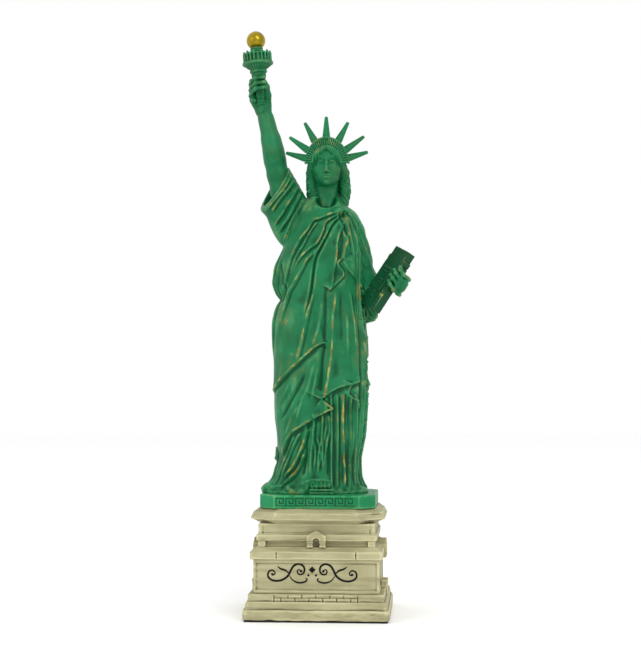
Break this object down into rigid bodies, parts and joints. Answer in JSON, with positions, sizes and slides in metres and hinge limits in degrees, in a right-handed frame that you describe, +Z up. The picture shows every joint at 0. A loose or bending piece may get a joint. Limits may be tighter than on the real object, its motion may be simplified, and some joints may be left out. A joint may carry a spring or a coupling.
{
  "type": "miniature landmark statue",
  "caption": "Painted resin statue of a robed, crowned figure with a raised torch and a tablet, on a stepped square pedestal.",
  "frame": {"origin": "middle of the flat underside of the felt pad, which the statue stands on", "axes": "+Z up, the figure faces -Y, and its raised arm is on the -X side"},
  "size_m": [0.0901, 0.074, 0.3049],
  "materials": {
    "felt": "matte",
    "board": "matte",
    "stone_paint": "matte",
    "ornament_paint": "satin",
    "green_paint": "satin",
    "gold_paint": "gloss",
    "pin_steel": "satin"
  },
  "bodies": {
    "root": {"base_pad": "felt", "base_board": "board", "pedestal_foot": "stone_paint", "pedestal_die": "stone_paint", "scroll_ornament": "ornament_paint", "pedestal_belt": "stone_paint", "pedestal_loggia": "stone_paint", "pedestal_frieze": "stone_paint", "front_portico": "stone_paint", "left_portico": "stone_paint", "right_portico": "stone_paint", "rear_portico": "stone_paint", "left_door": "stone_paint", "right_door": "stone_paint", "rear_door": "stone_paint", "pedestal_cornice": "stone_paint", "figure_plinth": "green_paint", "plinth_frieze": "green_paint", "figure_body": "green_paint", "front_foot": "green_paint", "right_sleeve": "green_paint", "raised_arm": "green_paint", "raised_hand": "green_paint", "torch_handle": "green_paint", "torch_gallery": "green_paint", "torch_ball": "gold_paint", "head": "green_paint", "crown_diadem": "green_paint", "left_sleeve": "green_paint", "left_hand": "green_paint", "tablet": "green_paint", "arm_pin": "pin_steel", "neck_pin": "pin_steel", "crown_ray_1": "green_paint", "crown_ray_2": "green_paint", "crown_ray_3": "green_paint", "crown_ray_4": "green_paint", "crown_ray_5": "green_paint", "crown_ray_6": "green_paint", "crown_ray_7": "green_paint"}
  },
  "joints": []
}
